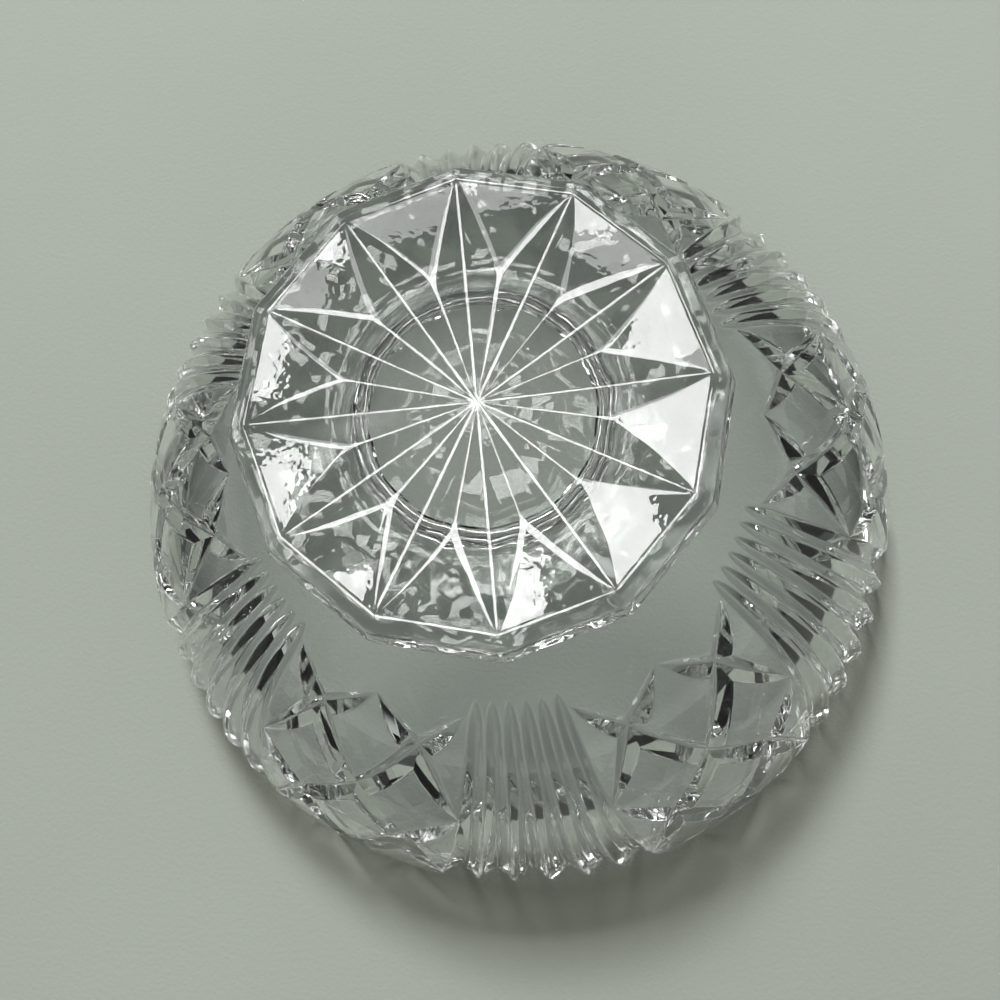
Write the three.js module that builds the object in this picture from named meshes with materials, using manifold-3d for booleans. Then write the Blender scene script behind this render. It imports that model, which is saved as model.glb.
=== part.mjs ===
// Cut-crystal pedestal centerpiece bowl: a heavy half-ball bowl on a twelve-sided foot.
// Millimetres, +Z up, origin in the middle of the plane that the foot rests on.

import * as THREE from 'three';
import { mergeVertices } from 'three/addons/utils/BufferGeometryUtils.js';
import Module from 'manifold-3d';

// Foot
const FOOT_SIDES = 12;
const FOOT_CORNER_RADIUS = 52.5;
const FOOT_BEVEL_WIDTH = 3.4;
const FOOT_BEVEL_HEIGHT = 2.4;
const FOOT_EDGE_HEIGHT = 8.2;
const FOOT_EDGE_DRAFT = 1.5;
const FOOT_TOP_RISE = 3.5;
const NECK_RADIUS = 25.5;
const NECK_FILLET = 8;
const NECK_STRAIGHT = 0.3;
const STAR_DEPTH = 2.2;
const STAR_HALF_ANGLE = 78;
const STAR_CURVE_POWER = 1.7;

// Bond between foot and bowl
const BOND_THICKNESS = 0.3;
const BOND_SETBACK = 0.5;

// Bowl blank
const BOWL_RADIUS = 105;
const BOWL_HEIGHT = 104.7;
const BOWL_BOSS_HEIGHT = 1.8;
const BOWL_FILLET = 6;
const RIM_WALL = 8.5;
const RIM_BEVEL = 1;
const FLOOR_THICKNESS = 14;

// Cut pattern on the bowl: panels of flutes and of crossed mitre grooves take turns
const PANEL_PAIRS = 6;
const FLUTES_PER_PANEL = 6;
const FLUTE_HALF_ANGLE = 54;
const FLUTE_START = 34.5;
const FLUTE_RUN_IN = 5;
const FLUTE_OVERRUN = 6;
const FLUTE_HALF_SPAN_LOW = 10.5;
const FLUTE_HALF_SPAN_HIGH = 17.8;
const FLUTE_FLARE_POWER = 1.5;
const MITRE_ROWS = [36.8, 43.8, 56.3, 65.4, 79.1, 88.8, 102];
const MITRE_CROSS_SHARE = 0.53;
const MITRE_DEPTH = 2.7;
const MITRE_RUN_OUT_SHARE = 0.75;
const MITRE_HALF_ANGLE = 51;

// Facets
const BOWL_SEGMENTS = 72;
const NECK_SEGMENTS = 36;
const OUTER_STEPS = 11;
const INNER_STEPS = 9;
const FILLET_STEPS = 5;
const FLUTE_STEPS = 7;
const FLUTE_STEP_GROWTH = 1.3;
const STAR_STEPS = 4;
const CUTTER_CLEARANCE = 3;
const MERGE_TOLERANCE = 1e-4;

const PAIR_ANGLE = 360 / PANEL_PAIRS;
const REST_RADIUS = FOOT_CORNER_RADIUS - FOOT_BEVEL_WIDTH;
const SHOULDER_Z = FOOT_EDGE_HEIGHT + FOOT_TOP_RISE;
const FOOT_HEIGHT = SHOULDER_Z + NECK_FILLET + NECK_STRAIGHT;
const SEAT_Z = FOOT_HEIGHT + BOND_THICKNESS;
const RIM_Z = SEAT_Z + BOWL_HEIGHT;
const BALL_Z = SEAT_Z + BOWL_BOSS_HEIGHT + ballDrop(NECK_RADIUS);
const RIM_ANGLE = THREE.MathUtils.radToDeg(Math.acos((BALL_Z - RIM_Z) / BOWL_RADIUS));

const wasm = await Module();
wasm.setup();

// Height of the ball's middle over the circle of the given radius on its lower half
function ballDrop(radius) {
  return Math.sqrt(BOWL_RADIUS ** 2 - radius ** 2);
}

function radians(degrees) {
  return THREE.MathUtils.degToRad(degrees);
}

// Closed three.js geometry to a solid that can be cut and joined
function solid(geometry) {
  const bare = geometry.clone();
  bare.deleteAttribute('normal');
  bare.deleteAttribute('uv');
  const merged = mergeVertices(bare, MERGE_TOLERANCE);
  const corners = merged.index.array;
  const kept = [];
  for (let i = 0; i < corners.length; i += 3) {
    const [a, b, c] = corners.slice(i, i + 3);
    if (a !== b && b !== c && c !== a) kept.push(a, b, c);
  }
  return new wasm.Manifold(new wasm.Mesh({
    numProp: 3,
    vertProperties: new Float32Array(merged.attributes.position.array),
    triVerts: new Uint32Array(kept),
  }));
}

function namedMesh(name, body, material) {
  const { vertProperties, triVerts } = body.getMesh();
  const geometry = new THREE.BufferGeometry();
  geometry.setAttribute('position', new THREE.BufferAttribute(new Float32Array(vertProperties), 3));
  geometry.setIndex(new THREE.BufferAttribute(new Uint32Array(triVerts), 1));
  geometry.computeVertexNormals();
  const mesh = new THREE.Mesh(geometry, material);
  mesh.name = name;
  return mesh;
}

// Solid of revolution about Z; the profile runs up the outside from the axis and back to it
function turned(profile, segments) {
  const points = profile.map(([radius, height]) => new THREE.Vector2(radius, height));
  const geometry = new THREE.LatheGeometry(points, segments);
  geometry.rotateX(Math.PI / 2);
  return solid(geometry);
}

// Points of a round stretch of a profile, from one angle to the other
function arc(middle, radius, from, to, steps) {
  return Array.from({ length: steps + 1 }, (_, i) => {
    const angle = radians(from + (to - from) * i / steps);
    return [middle[0] + radius * Math.cos(angle), middle[1] + radius * Math.sin(angle)];
  });
}

// V-shaped wheel cut: one triangle at each station, joined into a closed body
function wheelCut(stations, halfAngle) {
  const spread = Math.tan(radians(halfAngle));
  const positions = [];
  stations.forEach(({ point, normal, depth }, i) => {
    const before = stations[Math.max(i - 1, 0)].point;
    const after = stations[Math.min(i + 1, stations.length - 1)].point;
    const along = new THREE.Vector3().subVectors(after, before).normalize();
    const side = new THREE.Vector3().crossVectors(normal, along).normalize();
    const reach = (depth + CUTTER_CLEARANCE) * spread;
    const root = point.clone().addScaledVector(normal, -depth);
    const top = point.clone().addScaledVector(normal, CUTTER_CLEARANCE);
    const left = top.clone().addScaledVector(side, reach);
    const right = top.clone().addScaledVector(side, -reach);
    positions.push(...root.toArray(), ...left.toArray(), ...right.toArray());
  });
  const faces = [];
  for (let i = 0; i < stations.length - 1; i += 1) {
    for (let k = 0; k < 3; k += 1) {
      const a = 3 * i + k;
      const b = 3 * i + (k + 1) % 3;
      faces.push(a, b, a + 3, b, b + 3, a + 3);
    }
  }
  const last = 3 * (stations.length - 1);
  faces.push(0, 2, 1, last, last + 1, last + 2);
  const geometry = new THREE.BufferGeometry();
  geometry.setAttribute('position', new THREE.Float32BufferAttribute(positions, 3));
  geometry.setIndex(faces);
  return solid(geometry);
}

// Station on the bowl: polar angle up from the ball's lowest point, and heading about Z
function ballStation(polar, heading, depth) {
  const normal = new THREE.Vector3(
    Math.sin(radians(polar)) * Math.cos(radians(heading)),
    Math.sin(radians(polar)) * Math.sin(radians(heading)),
    -Math.cos(radians(polar)),
  );
  const point = normal.clone().multiplyScalar(BOWL_RADIUS);
  point.z += BALL_Z;
  return { point, normal, depth };
}

// Half the span of a flute panel, which fans out towards the rim
function fluteHalfSpan(polar) {
  const climb = Math.max(polar - FLUTE_START, 0) / (RIM_ANGLE - FLUTE_START);
  const gain = FLUTE_HALF_SPAN_HIGH - FLUTE_HALF_SPAN_LOW;
  return FLUTE_HALF_SPAN_LOW + gain * climb ** FLUTE_FLARE_POWER;
}

// Half the span of a mitre panel: what the flutes leave of a pair
function mitreHalfSpan(polar) {
  return PAIR_ANGLE / 2 - fluteHalfSpan(polar);
}

function fluteCut(panelHeading, index) {
  const stations = [];
  for (let i = 0; i <= FLUTE_STEPS + 1; i += 1) {
    const polar = i <= FLUTE_STEPS
      ? FLUTE_START + (RIM_ANGLE - FLUTE_START) * (i / FLUTE_STEPS) ** FLUTE_STEP_GROWTH
      : RIM_ANGLE + FLUTE_OVERRUN;
    const halfSpan = fluteHalfSpan(polar);
    const heading = panelHeading + halfSpan * ((2 * index + 1) / FLUTES_PER_PANEL - 1);
    const halfPitch = BOWL_RADIUS * Math.sin(radians(polar)) * radians(halfSpan / FLUTES_PER_PANEL);
    const fullDepth = halfPitch / Math.tan(radians(FLUTE_HALF_ANGLE));
    const runIn = Math.min((polar - FLUTE_START) / FLUTE_RUN_IN, 1);
    stations.push(ballStation(polar, heading, fullDepth * Math.sqrt(1 - (1 - runIn) ** 2)));
  }
  return wheelCut(stations, FLUTE_HALF_ANGLE);
}

// Crossing of the lattice: even rows lie in the middle and at the edges, odd rows between them
function latticeNode(panelHeading, row, side) {
  const polar = MITRE_ROWS[row];
  const share = row % 2 === 0 ? side : side * MITRE_CROSS_SHARE;
  return { polar, heading: panelHeading + share * mitreHalfSpan(polar) };
}

// Mitre groove through the given crossings; it runs out to nothing at an end named in runOut
function mitreCut(panelHeading, path, runOut) {
  const nodes = path.map(([row, side]) => latticeNode(panelHeading, row, side));
  const stations = [];
  nodes.forEach((node, i) => {
    const isRunOut = (i === 0 && runOut.first) || (i === nodes.length - 1 && runOut.last);
    stations.push(ballStation(node.polar, node.heading, isRunOut ? 0 : MITRE_DEPTH));
    if (i === nodes.length - 1) return;
    const next = nodes[i + 1];
    const nearRunOut = (i === 0 && runOut.first) || (i === nodes.length - 2 && runOut.last);
    const depth = nearRunOut ? MITRE_RUN_OUT_SHARE * MITRE_DEPTH : MITRE_DEPTH;
    stations.push(ballStation((node.polar + next.polar) / 2, (node.heading + next.heading) / 2, depth));
  });
  return wheelCut(stations, MITRE_HALF_ANGLE);
}

function mitrePanelCuts(panelHeading) {
  const bothEnds = { first: true, last: true };
  const firstEnd = { first: true, last: false };
  const cuts = [];
  for (const side of [1, -1]) {
    cuts.push(mitreCut(panelHeading, [[0, side], [1, side], [2, 0], [3, -side], [4, -side]], bothEnds));
    cuts.push(mitreCut(panelHeading, [[0, 0], [1, side], [2, side]], bothEnds));
    cuts.push(mitreCut(panelHeading, [[2, side], [3, side], [4, 0], [5, -side], [6, -side]], firstEnd));
    cuts.push(mitreCut(panelHeading, [[4, side], [5, side], [6, 0]], firstEnd));
  }
  return cuts;
}

function bowlBlank() {
  const filletZ = SEAT_Z + BOWL_BOSS_HEIGHT;
  const profile = [[0, SEAT_Z], [NECK_RADIUS, SEAT_Z], [NECK_RADIUS, filletZ]];
  const lowAngle = THREE.MathUtils.radToDeg(Math.asin((NECK_RADIUS + BOWL_FILLET) / BOWL_RADIUS));
  for (let i = 0; i <= OUTER_STEPS; i += 1) {
    const polar = radians(lowAngle + (RIM_ANGLE - lowAngle) * i / OUTER_STEPS);
    profile.push([BOWL_RADIUS * Math.sin(polar), BALL_Z - BOWL_RADIUS * Math.cos(polar)]);
  }
  const rimRadius = profile[profile.length - 1][0];
  const insideRadius = rimRadius - RIM_WALL;
  profile[profile.length - 1][1] -= RIM_BEVEL;
  profile.push([rimRadius - RIM_BEVEL, RIM_Z]);
  profile.push([insideRadius + RIM_BEVEL, RIM_Z]);
  const insideDepth = BOWL_HEIGHT - FLOOR_THICKNESS;
  for (let i = 0; i <= INNER_STEPS; i += 1) {
    const turn = radians(90 * i / INNER_STEPS);
    const bevel = i === 0 ? RIM_BEVEL : 0;
    profile.push([insideRadius * Math.cos(turn), RIM_Z - bevel - insideDepth * Math.sin(turn)]);
  }
  profile[profile.length - 1][0] = 0;
  return turned(profile, BOWL_SEGMENTS);
}

function bowlBody() {
  const cuts = [];
  for (let pair = 0; pair < PANEL_PAIRS; pair += 1) {
    const fluteHeading = pair * PAIR_ANGLE;
    for (let index = 0; index < FLUTES_PER_PANEL; index += 1) {
      cuts.push(fluteCut(fluteHeading, index));
    }
    cuts.push(...mitrePanelCuts(fluteHeading + PAIR_ANGLE / 2));
  }
  return cuts.reduce((body, cut) => body.subtract(cut), bowlBlank());
}

// Ray of the star under the foot: deepest in the middle, run out at a corner of the resting face
function starCut(heading) {
  const down = new THREE.Vector3(0, 0, -1);
  const direction = new THREE.Vector3(Math.cos(radians(heading)), Math.sin(radians(heading)), 0);
  const stations = [];
  for (let i = 0; i <= STAR_STEPS; i += 1) {
    const share = i / STAR_STEPS;
    stations.push({
      point: direction.clone().multiplyScalar(REST_RADIUS * share),
      normal: down,
      depth: STAR_DEPTH * (1 - share ** STAR_CURVE_POWER),
    });
  }
  return wheelCut(stations, STAR_HALF_ANGLE);
}

function footBody() {
  const shoulderRadius = NECK_RADIUS + NECK_FILLET;
  const plate = turned([
    [0, 0],
    [REST_RADIUS, 0],
    [FOOT_CORNER_RADIUS, FOOT_BEVEL_HEIGHT],
    [FOOT_CORNER_RADIUS + FOOT_EDGE_DRAFT, FOOT_EDGE_HEIGHT],
    [shoulderRadius, SHOULDER_Z],
    [0, SHOULDER_Z],
  ], FOOT_SIDES);
  const neck = turned([
    [0, FOOT_EDGE_HEIGHT],
    [shoulderRadius, FOOT_EDGE_HEIGHT],
    ...arc([shoulderRadius, SHOULDER_Z + NECK_FILLET], NECK_FILLET, 270, 180, FILLET_STEPS),
    [NECK_RADIUS, FOOT_HEIGHT],
    [0, FOOT_HEIGHT],
  ], NECK_SEGMENTS);
  let body = plate.add(neck);
  for (let i = 0; i < FOOT_SIDES; i += 1) {
    body = body.subtract(starCut(i * 360 / FOOT_SIDES));
  }
  return body;
}

function bondBody() {
  const radius = NECK_RADIUS - BOND_SETBACK;
  return turned([[0, FOOT_HEIGHT], [radius, FOOT_HEIGHT], [radius, SEAT_Z], [0, SEAT_Z]], NECK_SEGMENTS);
}

const crystal = { color: 0xb4beb6, roughness: 0.05, metalness: 0 };
const centerpiece = new THREE.Group();
centerpiece.add(namedMesh('bowl', bowlBody(), new THREE.MeshStandardMaterial(crystal)));
centerpiece.add(namedMesh('pedestal_foot', footBody(), new THREE.MeshStandardMaterial(crystal)));
centerpiece.add(namedMesh('bond_film', bondBody(), new THREE.MeshStandardMaterial({
  color: 0xd6ddd6,
  roughness: 0.2,
  metalness: 0,
})));

export default centerpiece;
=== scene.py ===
import bmesh
import bpy
import math
from mathutils import Matrix, Vector


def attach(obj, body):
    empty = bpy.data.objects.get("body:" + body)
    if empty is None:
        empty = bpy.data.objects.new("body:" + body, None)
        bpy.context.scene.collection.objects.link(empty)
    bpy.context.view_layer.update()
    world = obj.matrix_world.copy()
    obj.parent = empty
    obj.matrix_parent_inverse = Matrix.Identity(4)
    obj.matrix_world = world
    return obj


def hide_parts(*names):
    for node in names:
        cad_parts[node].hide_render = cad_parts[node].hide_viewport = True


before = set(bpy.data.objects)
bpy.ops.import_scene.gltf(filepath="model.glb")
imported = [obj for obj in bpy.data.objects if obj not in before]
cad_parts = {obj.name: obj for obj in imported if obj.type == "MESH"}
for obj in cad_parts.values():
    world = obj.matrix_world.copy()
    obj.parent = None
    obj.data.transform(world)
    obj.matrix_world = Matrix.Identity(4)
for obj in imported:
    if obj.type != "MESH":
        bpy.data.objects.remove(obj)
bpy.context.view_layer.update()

# Dimensions of the bowl, in metres and degrees, the same as in the solids
MM = 0.001
FOOT_SIDES = 12
FOOT_CORNER = 52.5 * MM
FOOT_BEVEL = 3.4 * MM
FOOT_BEVEL_HEIGHT = 2.4 * MM
FOOT_EDGE = 8.2 * MM
FOOT_DRAFT = 1.5 * MM
FOOT_RISE = 3.5 * MM
NECK = 25.5 * MM
NECK_FILLET = 8 * MM
NECK_STRAIGHT = 0.3 * MM
STAR_DEPTH = 2.2 * MM
STAR_SLOPE = 78
STAR_POWER = 1.7
BOND = 0.3 * MM
BOND_SETBACK = 0.5 * MM
BALL = 105 * MM
BOWL_HEIGHT = 104.7 * MM
BOSS = 1.8 * MM
BOWL_FILLET = 6 * MM
RIM_WALL = 8.5 * MM
RIM_BEVEL = 1 * MM
FLOOR = 14 * MM
PAIRS = 6
FLUTES = 6
FLUTE_SLOPE = 54
FLUTE_START = 34.5
FLUTE_RUN_IN = 5
FLUTE_SPAN_LOW = 10.5
FLUTE_SPAN_HIGH = 17.8
FLUTE_FLARE = 1.5
MITRE_ROWS = [36.8, 43.8, 56.3, 65.4, 79.1, 88.8, 102]
MITRE_CROSS = 0.53
MITRE_DEPTH = 2.7 * MM
MITRE_SLOPE = 51

# Edges and hollows that only the finished glass has
STAR_ROOT = 0.45 * MM
STAR_SHOULDER = 1.2 * MM
STAR_MIDDLE = 0.4 * MM
FLUTE_ROOT = 0.35 * MM
FLUTE_SHOULDER = 0.6 * MM
MITRE_ROOT = 0.4 * MM
MITRE_SHOULDER = 0.4 * MM
PLATE_ROUND = 1.1 * MM
PLATE_EDGE_TURN = 12
SEAT_BEVEL = 0.45 * MM
BOND_CLEAR = 0.01 * MM
BULGE_RADIUS = 42 * MM
BULGE_CURVE = -0.006
BOWL_CRISP_TURN = 32
FOOT_CRISP_TURN = 24

# Finishes of the glass, with painted shade on the cut faces, on the foot and in the pressed waves
CRYSTAL_INDEX = 1.54
BOND_INDEX = 1.001
BOWL_TINT = (0.95, 0.97, 0.95, 1)
# Grey of the faces cut into the ball: painted shade that darkens the cut zones
CUT_PAINTED_SHADE = (0.66, 0.68, 0.66, 1)
# Grey of the foot's glass, darker than the bowl's: painted shade for the foot's own shadow seen through it
FOOT_TINT_AND_SHADE = (0.66, 0.68, 0.66, 1)
# Grey painted as shade into the waves of the foot's pressed top
PRESSED_SHADE_GREY = 0.38
DEEPEST_CUT = 6 * MM
SLANT_POWER = 1.8
SLANT_SHARE = 0.2
BOWL_SHARE = 0.997
FOOT_SHARE = 0.9

PAIR_ANGLE = 360 / PAIRS
REST_RADIUS = FOOT_CORNER - FOOT_BEVEL
SHOULDER_Z = FOOT_EDGE + FOOT_RISE
FOOT_TOP = SHOULDER_Z + NECK_FILLET + NECK_STRAIGHT
SEAT_Z = FOOT_TOP + BOND
RIM_Z = SEAT_Z + BOWL_HEIGHT
BALL_Z = SEAT_Z + BOSS + math.sqrt(BALL ** 2 - NECK ** 2)
RIM_ANGLE = math.degrees(math.acos((BALL_Z - RIM_Z) / BALL))


def turned(name, profile, steps):
    """Solid of revolution.
    The profile, radius and height, runs from the axis up the outside and back to the axis."""
    bm = bmesh.new()
    points = [bm.verts.new((radius, 0, height)) for radius, height in profile]
    edges = [bm.edges.new(pair) for pair in zip(points, points[1:])]
    bmesh.ops.spin(bm, geom=points + edges, axis=(0, 0, 1), cent=(0, 0, 0), angle=math.tau,
                   steps=steps, use_merge=True)
    bmesh.ops.remove_doubles(bm, verts=bm.verts, dist=1e-6)
    bmesh.ops.dissolve_degenerate(bm, edges=bm.edges, dist=1e-7)
    bmesh.ops.recalc_face_normals(bm, faces=bm.faces)
    return from_bmesh(name, bm)


def from_bmesh(name, bm):
    mesh = bpy.data.meshes.new(name)
    bm.to_mesh(mesh)
    bm.free()
    piece = bpy.data.objects.new(name, mesh)
    bpy.context.scene.collection.objects.link(piece)
    return piece


def arc(middle, radius, start, end, steps):
    turns = [math.radians(start + (end - start) * i / steps) for i in range(steps + 1)]
    return [(middle[0] + radius * math.cos(t), middle[1] + radius * math.sin(t)) for t in turns]


def wheel_section(depth, slope, root, shoulder):
    """Section of a cutting wheel, side and height.
    It is a V with a rounded root and rounded shoulders at the surface."""
    rise = 1 / math.tan(math.radians(slope))
    half = depth / rise
    root = min(root, 0.4 * half)
    shoulder = min(shoulder, 0.4 * half)
    side = [(0.4 * root, 0.55 * root * rise - depth), (root, root * rise - depth)]
    parts = 5
    for i in range(parts):
        left = 1 - i / parts
        side.append((half + shoulder * (1 - 2 * left), -rise * shoulder * left ** 2))
    side += [(half + 1.2 * shoulder, 0.02 * shoulder * rise), (half + 1.2 * shoulder + 0.5 * MM, 3 * MM)]
    return [(-x, y) for x, y in reversed(side)] + side


def wheel_cut(stations, slope, root, shoulder):
    """Cutter drawn along the stations (point, outward normal, depth), one section extruded to the next."""
    points = [point for point, _, _ in stations]
    bm = bmesh.new()
    face = None
    for i, (point, normal, depth) in enumerate(stations):
        along = (points[min(i + 1, len(points) - 1)] - points[max(i - 1, 0)]).normalized()
        across = normal.cross(along).normalized()
        section = wheel_section(max(depth, 0.01 * MM), slope, root, shoulder)
        places = [point + across * x + normal * y for x, y in section]
        if face is None:
            face = bm.faces.new([bm.verts.new(place) for place in places])
            continue
        made = bmesh.ops.extrude_face_region(bm, geom=[face])
        if i > 1:
            bm.faces.remove(face)
        face = next(part for part in made["geom"] if isinstance(part, bmesh.types.BMFace))
        for corner, place in zip(face.verts, places):
            corner.co = place
    bmesh.ops.recalc_face_normals(bm, faces=bm.faces)
    return from_bmesh("wheel", bm)


def carve(piece, cutters, operation="DIFFERENCE"):
    """Cuts the cutters out of the piece, or joins them to it, and removes them."""
    for cutter in cutters:
        cut = piece.modifiers.new("cut", "BOOLEAN")
        cut.object = cutter
        cut.operation = operation
        cut.solver = "MANIFOLD"
    evaluated = piece.evaluated_get(bpy.context.evaluated_depsgraph_get())
    carved = bpy.data.meshes.new_from_object(evaluated)
    piece.modifiers.clear()
    piece.data = carved
    for cutter in cutters:
        bpy.data.objects.remove(cutter)


def polish(piece, angle):
    """Smooth faces with crisp edges where two faces turn by more than the angle."""
    bm = bmesh.new()
    bm.from_mesh(piece.data)
    bmesh.ops.remove_doubles(bm, verts=bm.verts, dist=2e-6)
    bmesh.ops.dissolve_degenerate(bm, edges=bm.edges, dist=1e-6)
    for face in bm.faces:
        face.smooth = True
    for edge in bm.edges:
        edge.smooth = edge.calc_face_angle(0) < math.radians(angle)
    bm.to_mesh(piece.data)
    bm.free()
    even = piece.modifiers.new("even", "WEIGHTED_NORMAL")
    even.keep_sharp = True
    even.weight = 80


def on_ball(polar, heading):
    """Point on the ball and its outward normal; polar is up from the lowest point, in degrees."""
    p, h = math.radians(polar), math.radians(heading)
    normal = Vector((math.sin(p) * math.cos(h), math.sin(p) * math.sin(h), -math.cos(p)))
    return normal * BALL + Vector((0, 0, BALL_Z)), normal


def flute_span(polar):
    climb = max(polar - FLUTE_START, 0) / (RIM_ANGLE - FLUTE_START)
    return FLUTE_SPAN_LOW + (FLUTE_SPAN_HIGH - FLUTE_SPAN_LOW) * climb ** FLUTE_FLARE


def flute(panel, index):
    stations = []
    steps = 26
    for i in range(steps + 1):
        polar = FLUTE_START + (RIM_ANGLE + 4 - FLUTE_START) * (i / steps) ** 1.6
        span = flute_span(polar)
        half = BALL * math.sin(math.radians(polar)) * math.radians(span / FLUTES)
        run_in = min((polar - FLUTE_START) / FLUTE_RUN_IN, 1)
        depth = half / math.tan(math.radians(FLUTE_SLOPE)) * math.sqrt(1 - (1 - run_in) ** 2)
        point, normal = on_ball(polar, panel + span * ((2 * index + 1) / FLUTES - 1))
        stations.append((point, normal, depth))
    return wheel_cut(stations, FLUTE_SLOPE, FLUTE_ROOT, FLUTE_SHOULDER)


def mitre(panel, path, first_out, last_out):
    """Groove through crossings of the lattice (row, side), run out to nothing at a free end."""
    crossings = []
    for row, side in path:
        polar = MITRE_ROWS[row]
        share = side if row % 2 == 0 else side * MITRE_CROSS
        crossings.append((polar, panel + share * (PAIR_ANGLE / 2 - flute_span(polar))))
    stations = []
    parts = 5
    count = (len(crossings) - 1) * parts
    for i in range(count + 1):
        leg = min(i // parts, len(crossings) - 2)
        share = i / parts - leg
        (p0, h0), (p1, h1) = crossings[leg], crossings[leg + 1]
        from_end = min(i if first_out else count, count - i if last_out else count) / parts
        depth = MITRE_DEPTH * (1 - (1 - min(from_end, 1)) ** 2)
        stations.append((*on_ball(p0 + (p1 - p0) * share, h0 + (h1 - h0) * share), depth))
    return wheel_cut(stations, MITRE_SLOPE, MITRE_ROOT, MITRE_SHOULDER)


def mitre_panel(panel):
    cuts = []
    for side in (1, -1):
        cuts.append(mitre(panel, [(0, side), (1, side), (2, 0), (3, -side), (4, -side)], True, True))
        cuts.append(mitre(panel, [(0, 0), (1, side), (2, side)], True, True))
        cuts.append(mitre(panel, [(2, side), (3, side), (4, 0), (5, -side), (6, -side)], True, False))
        cuts.append(mitre(panel, [(4, side), (5, side), (6, 0)], True, False))
    return cuts


def bowl_profile():
    low = math.degrees(math.asin((NECK + BOWL_FILLET) / BALL))
    steps = 64
    wall = []
    for i in range(steps + 1):
        polar = math.radians(low + (RIM_ANGLE - low) * i / steps)
        wall.append((BALL * math.sin(polar), BALL_Z - BALL * math.cos(polar)))
    outside = wall[-1][0]
    inside = outside - RIM_WALL
    wall[-1] = (outside, wall[-1][1] - RIM_BEVEL)
    depth = BOWL_HEIGHT - FLOOR
    turns = [math.radians(90 * i / 56) for i in range(57)]
    hollow = [(inside * math.cos(t), RIM_Z - depth * math.sin(t)) for t in turns]
    hollow[0] = (inside, RIM_Z - RIM_BEVEL)
    hollow[-1] = (0, hollow[-1][1])
    seat = [(0, SEAT_Z), (NECK - SEAT_BEVEL, SEAT_Z), (NECK, SEAT_Z + SEAT_BEVEL), (NECK, SEAT_Z + BOSS)]
    return seat + wall + [(outside - RIM_BEVEL, RIM_Z), (inside + RIM_BEVEL, RIM_Z)] + hollow


def make_bowl():
    bowl = turned("crystal_bowl", bowl_profile(), 216)
    cuts = []
    for pair in range(PAIRS):
        cuts += [flute(pair * PAIR_ANGLE, index) for index in range(FLUTES)]
        cuts += mitre_panel((pair + 0.5) * PAIR_ANGLE)
    carve(bowl, cuts)
    polish(bowl, BOWL_CRISP_TURN)
    return bowl


def star_groove(heading):
    """One pass of the wheel across the foot, from corner to corner, deepest in the middle.
    Where neighbouring passes meet, the ridge between them stands lower than the resting plane."""
    direction = Vector((math.cos(math.radians(heading)), math.sin(math.radians(heading)), 0))
    stations = []
    steps = 20
    for i in range(-steps, steps + 1):
        radius = REST_RADIUS * abs(i / steps)
        depth = STAR_DEPTH * (1 - abs(i / steps) ** STAR_POWER)
        half = max(radius * math.tan(math.pi / FOOT_SIDES), STAR_MIDDLE)
        to_ridge = half / math.tan(math.radians(STAR_SLOPE))
        point = direction * REST_RADIUS * i / steps + Vector((0, 0, max(depth - to_ridge, 0)))
        stations.append((point, Vector((0, 0, -1)), min(depth, to_ridge)))
    return wheel_cut(stations, STAR_SLOPE, STAR_ROOT, STAR_SHOULDER)


def make_foot():
    shoulder = NECK + NECK_FILLET
    foot = turned("crystal_foot", [
        (0, 0),
        (REST_RADIUS, 0),
        (FOOT_CORNER, FOOT_BEVEL_HEIGHT),
        (FOOT_CORNER + FOOT_DRAFT, FOOT_EDGE),
        (shoulder, SHOULDER_Z),
        (0, SHOULDER_Z),
    ], FOOT_SIDES)
    neck = turned("neck", [
        (0, FOOT_EDGE),
        (shoulder, FOOT_EDGE),
        *arc((shoulder, SHOULDER_Z + NECK_FILLET), NECK_FILLET, 270, 180, 16),
        (NECK, FOOT_TOP - SEAT_BEVEL),
        (NECK - SEAT_BEVEL, FOOT_TOP),
        (0, FOOT_TOP),
    ], 96)
    bm = bmesh.new()
    bm.from_mesh(foot.data)
    rims = [edge for edge in bm.edges if edge.calc_face_angle(0) > math.radians(PLATE_EDGE_TURN)]
    bmesh.ops.bevel(bm, geom=rims, offset=PLATE_ROUND, affect="EDGES", segments=4, profile=0.5, material=-1)
    bm.to_mesh(foot.data)
    bm.free()
    carve(foot, [neck], "UNION")
    carve(foot, [star_groove(i * 360 / FOOT_SIDES) for i in range(FOOT_SIDES // 2)])
    polish(foot, FOOT_CRISP_TURN)
    return foot


def make_bond():
    edge = NECK - BOND_SETBACK
    low, high = FOOT_TOP + BOND_CLEAR, SEAT_Z - BOND_CLEAR
    bond = turned("clear_bond", [(0, low), (edge, low), (edge, high), (0, high)], 96)
    polish(bond, BOWL_CRISP_TURN)
    return bond


class Value:
    """A shader socket that can stand in a sum."""

    def __init__(self, paint, socket):
        self.paint = paint
        self.socket = socket

    def sum(self, operation, first, second):
        return self.paint.node("ShaderNodeMath", {"operation": operation}, {0: first, 1: second})

    def __add__(self, other):
        return self.sum("ADD", self, other)

    __radd__ = __add__

    def __sub__(self, other):
        return self.sum("SUBTRACT", self, other)

    def __rsub__(self, other):
        return self.sum("SUBTRACT", other, self)

    def __mul__(self, other):
        return self.sum("MULTIPLY", self, other)

    __rmul__ = __mul__

    def __gt__(self, other):
        return self.sum("GREATER_THAN", self, other)

    def __lt__(self, other):
        return self.sum("LESS_THAN", self, other)

    def __pow__(self, other):
        return self.sum("POWER", self, other)


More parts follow.
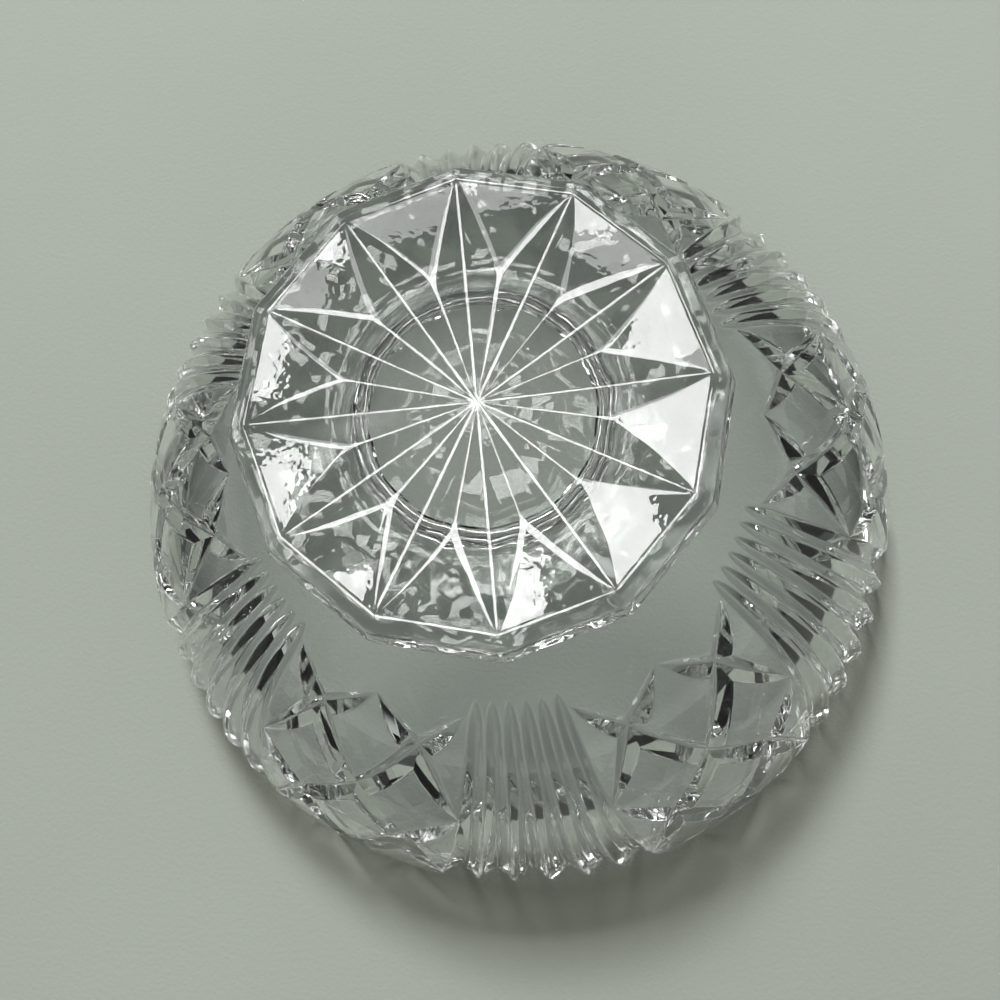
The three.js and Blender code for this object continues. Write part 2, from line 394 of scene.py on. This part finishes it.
class Paint:
    """The nodes of a material or of the world."""

    def __init__(self, owner):
        owner.use_nodes = True
        self.tree = owner.node_tree
        self.tree.nodes.clear()

    def node(self, kind, settings=None, sockets=None, out=0):
        made = self.tree.nodes.new(kind)
        for key, value in (settings or {}).items():
            setattr(made, key, value)
        for key, value in (sockets or {}).items():
            if isinstance(value, Value):
                self.tree.links.new(value.socket, made.inputs[key])
            else:
                made.inputs[key].default_value = value
        return Value(self, made.outputs[out]) if made.outputs else None

    def part(self, place, axis):
        return self.node("ShaderNodeSeparateXYZ", {}, {"Vector": place}, axis)

    def measure(self, operation, place, other):
        return self.node("ShaderNodeVectorMath", {"operation": operation}, {0: place, 1: other}, "Value")

    def noise(self, place, scale, detail):
        return self.node("ShaderNodeTexNoise", {}, {"Vector": place, "Scale": scale, "Detail": detail})

    def ramp(self, value, low, high, start=0.0, end=1.0):
        sockets = {"Value": value, "From Min": low, "From Max": high, "To Min": start, "To Max": end}
        return self.node("ShaderNodeMapRange", {"interpolation_type": "SMOOTHSTEP"}, sockets)

    def blend(self, share, first, second):
        settings = {"data_type": "RGBA", "clamp_factor": True}
        return self.node("ShaderNodeMix", settings, {"Factor": share, 6: first, 7: second}, 2)

    def either(self, share, first, second):
        return self.node("ShaderNodeMixShader", {}, {0: share, 1: first, 2: second})

    def lamp_passes(self, body, straight, slanted):
        """Finishes a clear body that lamp light crosses.
        Each surface lets through one share of the light that meets it head on, another at a slant."""
        slant = self.node("ShaderNodeLayerWeight", {}, {"Blend": 0.5}, "Facing")
        head_on = self.node("ShaderNodeBsdfTransparent", {}, {"Color": grey(straight)})
        grazing = self.node("ShaderNodeBsdfTransparent", {}, {"Color": grey(slanted)})
        path = self.node("ShaderNodeLightPath", out="Is Shadow Ray")
        self.finish(self.either(path, body, self.either(slant ** SLANT_POWER, head_on, grazing)))

    def finish(self, shader, kind="Material"):
        self.node("ShaderNodeOutput" + kind, {}, {"Surface": shader})


def grey(level):
    return (level, level, level, 1)


def flat_bulge(paint, place):
    """Height in millimetres of the soft hollow that the polishing leaves on each flat
    between two rays of the star."""
    x = paint.part(place, "X")
    y = paint.part(place, "Y")
    radius = (x * x + y * y) ** 0.5
    heading = y.sum("ARCTAN2", y, x)
    off_middle = math.pi / FOOT_SIDES - heading.sum("PINGPONG", heading, math.pi / FOOT_SIDES)
    outward = (radius - BULGE_RADIUS) * (1 / MM)
    sideways = radius * off_middle * (1 / MM)
    return (outward * outward + sideways * sideways) * -0.5 * BULGE_CURVE


def crystal(name, tint_and_shade, ripple_scale, ripple_height, share, bulged=False, pressed_from=None,
            cut_shade=None):
    """Polished clear crystal: slow ripples from the fire polish, faint smears, and a share of lamp light
    let through to what lies behind. Heights of the ripples are in millimetres.
    Bulged: a flat between two rays of the star. Over the height pressed_from the glass was pressed and
    not cut, so it is wavy, with a mottled painted shade in its waves. Cuts in the ball carry a painted
    shade."""
    material = bpy.data.materials.new(name)
    paint = Paint(material)
    place = paint.node("ShaderNodeTexCoord", out="Object")
    slow = paint.noise(place, ripple_scale, 0)
    quick = paint.noise(place, 5 * ripple_scale, 0)
    ripple = ripple_height * (slow + 0.03 * quick)
    smear = paint.ramp(paint.noise(place, 45, 4), 0.5, 0.75)
    colour = paint.blend(smear, tint_and_shade, (tint_and_shade[0] * 0.97, tint_and_shade[1] * 0.97, tint_and_shade[2] * 0.96, 1))
    # Painted shade: the faces cut into the ball are coloured darker
    if cut_shade:
        cut_depth = BALL - paint.measure("DISTANCE", place, (0, 0, BALL_Z))
        cut = paint.ramp(cut_depth, 0.1 * MM, 0.5 * MM) * (cut_depth < DEEPEST_CUT)
        colour = paint.blend(cut, colour, cut_shade)
    if bulged:
        ripple = ripple + flat_bulge(paint, place) + 0.02 * paint.noise(place, 500, 1)
    if pressed_from:
        pressed = paint.ramp(paint.part(place, "Z"), pressed_from - 0.5 * MM, pressed_from)
        wave = paint.noise(place, 100, 1)
        ripple = ripple + pressed * wave
        # Painted shade: the waves of the pressed top go mottled grey
        colour = paint.blend(pressed * paint.ramp(wave, 0.35, 0.6, 0.25, 1), colour, grey(PRESSED_SHADE_GREY))
    normal = paint.node("ShaderNodeBump", {}, {"Strength": 1, "Distance": MM, "Height": ripple})
    body = paint.node("ShaderNodeBsdfPrincipled", {}, {
        "Base Color": colour,
        "Roughness": 0.004 + 0.035 * smear,
        "IOR": CRYSTAL_INDEX,
        "Transmission Weight": 1,
        "Normal": normal,
    })
    paint.lamp_passes(body, share, SLANT_SHARE)
    return material


def joint_clear():
    """Face bonded to its neighbour with a film of the crystal's own index: light goes straight on."""
    material = bpy.data.materials.new("bonded_face")
    paint = Paint(material)
    sockets = {"Color": grey(1), "Roughness": 0, "IOR": BOND_INDEX}
    paint.lamp_passes(paint.node("ShaderNodeBsdfRefraction", {}, sockets), 1, 1)
    return material


def bond_edge():
    """Milky edge of the cured film."""
    material = bpy.data.materials.new("bond_edge")
    paint = Paint(material)
    place = paint.node("ShaderNodeTexCoord", out="Object")
    cloud = paint.ramp(paint.noise(place, 120, 3), 0.35, 0.7, 0.25, 0.6)
    paint.finish(paint.node("ShaderNodeBsdfPrincipled", {}, {
        "Base Color": (0.8, 0.83, 0.8, 1),
        "Roughness": 0.4,
        "Alpha": cloud,
    }))
    return material


def face_material(piece, body, flats):
    """One material all over, and others on the faces that lie flat at the given heights."""
    piece.data.materials.clear()
    piece.data.materials.append(body)
    for index, (height, material) in enumerate(flats, 1):
        piece.data.materials.append(material)
        for face in piece.data.polygons:
            if all(abs(piece.data.vertices[v].co.z - height) < 1e-6 for v in face.vertices):
                face.material_index = index


bonded = joint_clear()
bowl = make_bowl()
# The bowl's cut faces carry a painted shade
bowl_glass = crystal("bowl_crystal", BOWL_TINT, 40, 0.12, BOWL_SHARE, cut_shade=CUT_PAINTED_SHADE)
face_material(bowl, bowl_glass, [(SEAT_Z, bonded)])
foot = make_foot()
# The foot's glass is darkened by a painted shade
foot_glass = crystal("foot_crystal", FOOT_TINT_AND_SHADE, 25, 1, FOOT_SHARE, pressed_from=FOOT_EDGE)
foot_flats = crystal("foot_flats", FOOT_TINT_AND_SHADE, 25, 1, FOOT_SHARE, bulged=True)
face_material(foot, foot_glass, [(FOOT_TOP, bonded), (0, foot_flats)])
bond = make_bond()
face_material(bond, bond_edge(), [(FOOT_TOP + BOND_CLEAR, bonded), (SEAT_Z - BOND_CLEAR, bonded)])

for piece, node, slot in ((bowl, "bowl", "bowl_crystal"), (foot, "pedestal_foot", "foot_crystal"),
                          (bond, "bond_film", "bond_adhesive")):
    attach(piece, "root")
    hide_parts(node)


# Picture axes in the frame of the solids, for a camera under the foot; focal length and width in pixels
RIGHT = Vector((0.90539, -0.41654, 0.08229))
DOWN = Vector((0.39565, 0.898, 0.19249))
AHEAD = Vector((-0.15408, -0.14172, 0.97784))
EYE = Vector((55.209, 55.683, -265.719)) * MM
FOCAL = 1350
IMAGE = 1000
STAGE_HALF = 12
TABLE_HALF = 4
FLOOR_DROP = 0.02 * MM
UNDERSIDE_DROP = 0.6 * MM
TABLE_GAP = 0.3 * MM
FLOOR_GREY = (0.6, 0.6, 0.6, 1)
CLOTH_COLOUR = (0.4, 0.44, 0.395, 1)
# Near-black past the cloth's edges: painted shade for the unlit room beyond the table
PAST_CLOTH_SHADE = (0.015, 0.015, 0.015, 1)
CLOTH_HALF_WIDTH = 0.175
CLOTH_HALF_LENGTH = 0.195
CLOTH_FADE = 0.005
CLOTH_MIDDLE = (-0.01, 0.005)
across = Vector((RIGHT.x, RIGHT.y, 0)).normalized()
downward = Vector((DOWN.x, DOWN.y, 0)).normalized()


def stage_plane(name, size, height, up):
    bm = bmesh.new()
    bmesh.ops.create_grid(bm, x_segments=1, y_segments=1, size=size)
    bmesh.ops.translate(bm, verts=bm.verts, vec=(0, 0, height))
    if not up:
        bmesh.ops.reverse_faces(bm, faces=bm.faces)
    plane = from_bmesh(name, bm)
    plane.visible_shadow = False
    return plane


def cloth(name, pale, beyond, below):
    """Cloth that shows only its front, with another shade past its edges.
    Below: it shows only through the floor."""
    material = bpy.data.materials.new(name)
    paint = Paint(material)
    place = paint.node("ShaderNodeTexCoord", out="Object")
    weave = paint.noise(place, 900, 2)
    # Painted shade of faint cloth folds: broad patches a little darker
    fold_shade_noise = paint.noise(place, 5, 3)
    shade = tuple(0.94 * part for part in pale[:3]) + (1,)
    past = 0
    for direction, middle, half in ((across, CLOTH_MIDDLE[0], CLOTH_HALF_WIDTH),
                                    (downward, CLOTH_MIDDLE[1], CLOTH_HALF_LENGTH)):
        off_middle = paint.measure("DOT_PRODUCT", place, direction) - middle
        past = past + paint.ramp(off_middle ** 2, half ** 2, (half + CLOTH_FADE) ** 2)
    colour = paint.blend(past, paint.blend(paint.ramp(fold_shade_noise, 0.3, 0.7), shade, pale), beyond)
    normal = paint.node("ShaderNodeBump", {}, {"Strength": 0.5, "Distance": 0.3 * MM, "Height": weave})
    surface = paint.node("ShaderNodeBsdfPrincipled", {}, {
        "Base Color": colour,
        "Roughness": 0.9,
        "Specular IOR Level": 0.1,
        "Normal": normal,
    })
    back = paint.node("ShaderNodeNewGeometry", out="Backfacing")
    passed = paint.node("ShaderNodeLightPath", out="Transparent Depth")
    front = 1 - back
    shown = front * (passed > 1.5) if below else front * (passed < 1.5)
    paint.finish(paint.either(shown, paint.node("ShaderNodeBsdfTransparent"), surface))
    return material


floor = stage_plane("floor", STAGE_HALF, -FLOOR_DROP, True)
floor.data.materials.append(cloth("floor_cloth", FLOOR_GREY, FLOOR_GREY, False))
underside = stage_plane("floor_underside", STAGE_HALF, -UNDERSIDE_DROP, True)
clear = bpy.data.materials.new("floor_underside")
clear_paint = Paint(clear)
clear_paint.finish(clear_paint.node("ShaderNodeBsdfTransparent"))
underside.data.materials.append(clear)
table = stage_plane("table", TABLE_HALF, RIM_Z + TABLE_GAP, False)
# Past the table cloth's edges lies a near-black painted shade
table.data.materials.append(cloth("table_cloth", CLOTH_COLOUR, PAST_CLOTH_SHADE, True))


def lamp(name, place, aim, width, height, power):
    data = bpy.data.lights.new(name, "AREA")
    data.shape = "RECTANGLE"
    data.size, data.size_y = width, height
    data.energy = power
    made = bpy.data.objects.new(name, data)
    back = (Vector(place) - Vector(aim)).normalized()
    side = (across - back * across.dot(back)).normalized()
    turn = Matrix((side, back.cross(side), back)).transposed().to_4x4()
    made.matrix_world = Matrix.Translation(place) @ turn
    made.visible_camera = False
    bpy.context.scene.collection.objects.link(made)
    return made


eye = bpy.data.cameras.new("eye")
eye.sensor_width = 36
eye.lens = 36 * FOCAL / IMAGE
eye.clip_start, eye.clip_end = 0.01, 50
camera = bpy.data.objects.new("eye", eye)
camera.matrix_world = Matrix((
    (RIGHT.x, -DOWN.x, -AHEAD.x, EYE.x),
    (RIGHT.y, -DOWN.y, -AHEAD.y, EYE.y),
    (RIGHT.z, -DOWN.z, -AHEAD.z, EYE.z),
    (0, 0, 0, 1),
))
bpy.context.scene.collection.objects.link(camera)
bpy.context.scene.camera = camera

# Lamps under the floor, for the foot and the bowl's floor to mirror: place across and down the picture,
# width and height in metres, power in watts
MIRROR_DROP = 1.2
MIRRORED = [
    ("ceiling_lamp", -0.0825, -0.32, 0.54, 0.26, 6.6),
    ("ceiling_lamp_end", 0.1026, -0.483, 0.169, 0.066, 0.52),
    ("ceiling_lamp_low", 0.0846, -0.143, 0.205, 0.094, 0.9),
    ("window_lamp", -0.12, -0.52, 0.4, 0.12, 0.8),
]
RING_SPREAD = 36
RING_MIDDLE = (-7.2, -13.9)
RING_SIZE = 0.25
RING_POWER = 2.6
MIDDLE = Vector((0, 0, 0.06))
lowest = Vector((0, 0, -1))
for name, right, down, width, height, power in MIRRORED:
    place = MIRROR_DROP * lowest + right * across + down * downward
    lamp(name, place, place - lowest, width, height, power).visible_diffuse = False
for side in range(FOOT_SIDES):
    turn = math.radians((side + 0.5) * 360 / FOOT_SIDES)
    outward = Vector((math.cos(turn), math.sin(turn), 0))
    right = math.tan(math.radians(RING_SPREAD * outward.dot(across) + RING_MIDDLE[0]))
    down = math.tan(math.radians(RING_SPREAD * outward.dot(downward) + RING_MIDDLE[1]))
    place = MIRROR_DROP * (lowest + right * across + down * downward)
    lamp("ring_lamp", place, (0, 0, 0), RING_SIZE, RING_SIZE, RING_POWER).visible_diffuse = False

# Studio light: one lamp under the floor that lights the cloth, and two soft boxes over the floor
main_place = 2 * (lowest - across * 0.14 - downward * 0.65)
lamp("main_lamp", main_place, MIDDLE, 0.5, 0.5, 62).visible_glossy = False
lamp("soft_box", (-0.7, -0.5, 1.3), MIDDLE, 0.8, 0.8, 9)
lamp("side_box", (0.9, -0.7, 0.8), MIDDLE, 0.5, 0.7, 4.5)
overhead = bpy.data.lights.new("overhead_light", "SUN")
overhead.energy = 1.4
overhead.angle = math.radians(100)
overhead_light = bpy.data.objects.new("overhead_light", overhead)
overhead_light.visible_glossy = overhead_light.visible_transmission = False
bpy.context.scene.collection.objects.link(overhead_light)

world = bpy.data.worlds.new("room")
bpy.context.scene.world = world
room = Paint(world)
look = room.node("ShaderNodeTexCoord", out="Generated")
sky = room.ramp(room.part(look, "Z"), -0.14, -0.03)
seen = room.blend(sky, grey(0.025), (0.62, 0.64, 0.62, 1))
lighting = room.node("ShaderNodeLightPath", out="Is Diffuse Ray")
colour = room.blend(lighting, seen, (0.2, 0.187, 0.15, 1))
room.finish(room.node("ShaderNodeBackground", {}, {"Color": colour, "Strength": 1}), "World")

scene = bpy.context.scene
scene.view_settings.view_transform = "Standard"
scene.cycles.caustics_refractive = False
scene.cycles.caustics_reflective = False
scene.cycles.max_bounces = 24
scene.cycles.glossy_bounces = 16
scene.cycles.transmission_bounces = 24
scene.cycles.transparent_max_bounces = 32
